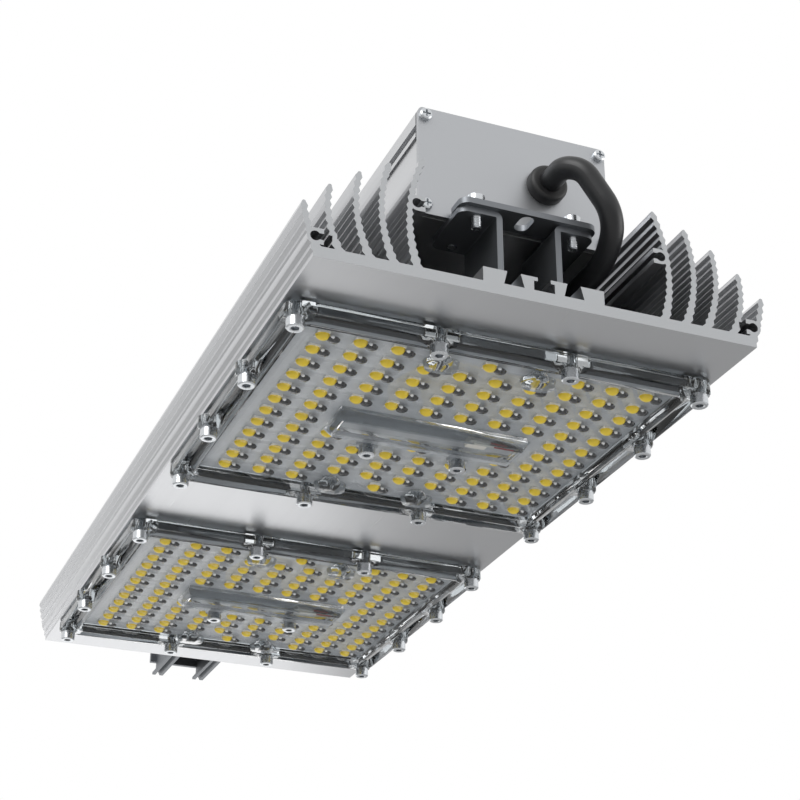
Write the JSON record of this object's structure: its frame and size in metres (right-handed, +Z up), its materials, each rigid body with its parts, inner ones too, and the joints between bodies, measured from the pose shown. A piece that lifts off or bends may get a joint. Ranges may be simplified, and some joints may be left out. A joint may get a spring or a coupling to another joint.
{
  "type": "led street light",
  "caption": "Flat LED street light: finned aluminium heatsink with clear lens modules below and a driver box on brackets above.",
  "frame": {"origin": "middle of the two hanging slots, on the top face of the cross plates", "axes": "+X across the width, +Y along the length away from the cable end, +Z up, away from the lamps"},
  "size_m": [0.1922, 0.5084, 0.103],
  "materials": {
    "anodised_aluminium": "satin anodised",
    "black_insulation": "insulation",
    "black_rubber": "matte",
    "board_coating": "solder mask",
    "bracket_aluminium": "satin",
    "cable_sheath": "satin",
    "can_sleeve": "sleeved",
    "clear_polycarbonate": "clear",
    "connector_plastic": "moulded",
    "copper_wire": "enamelled",
    "driver_laminate": "solder mask",
    "ferrite": "matte",
    "grey_silicone": "matte",
    "led_phosphor": "silicone",
    "red_insulation": "insulation",
    "sheet_steel": "zinc plated",
    "terminal_plastic": "moulded",
    "zinc_steel": "zinc plated"
  },
  "bodies": {
    "root": {"black_lead_far": "black_insulation", "black_lead_near": "black_insulation", "board_screws_far": "zinc_steel", "board_screws_near": "zinc_steel", "bracket_bolts": "zinc_steel", "cable_grommet": "black_rubber", "capacitors": "can_sleeve", "cover_gasket_far": "grey_silicone", "cover_gasket_near": "grey_silicone", "cover_screws_far": "zinc_steel", "cover_screws_near": "zinc_steel", "driver_board": "driver_laminate", "driver_housing": "anodised_aluminium", "end_plate_screws": "zinc_steel", "far_end_gasket": "grey_silicone", "far_end_plate": "anodised_aluminium", "heat_spreader": "anodised_aluminium", "heatsink": "anodised_aluminium", "housing_screws": "zinc_steel", "led_board_far": "board_coating", "led_board_near": "board_coating", "led_packages_far": "led_phosphor", "led_packages_near": "led_phosphor", "lens_cover_far": "clear_polycarbonate", "lens_cover_near": "clear_polycarbonate", "line_choke": "copper_wire", "link_cable": "cable_sheath", "near_bracket_left": "bracket_aluminium", "near_bracket_right": "bracket_aluminium", "near_cross_plate": "sheet_steel", "near_end_gasket": "grey_silicone", "near_end_plate": "anodised_aluminium", "plate_grommet_near": "black_rubber", "plate_plug_far": "black_rubber", "rear_arm_left": "bracket_aluminium", "rear_arm_right": "bracket_aluminium", "rear_cross_plate": "sheet_steel", "red_lead_far": "red_insulation", "red_lead_near": "red_insulation", "terminal_block": "terminal_plastic", "transformer_core": "ferrite", "transformer_winding": "copper_wire", "wire_connector_far": "connector_plastic", "wire_connector_near": "connector_plastic"}
  },
  "joints": []
}
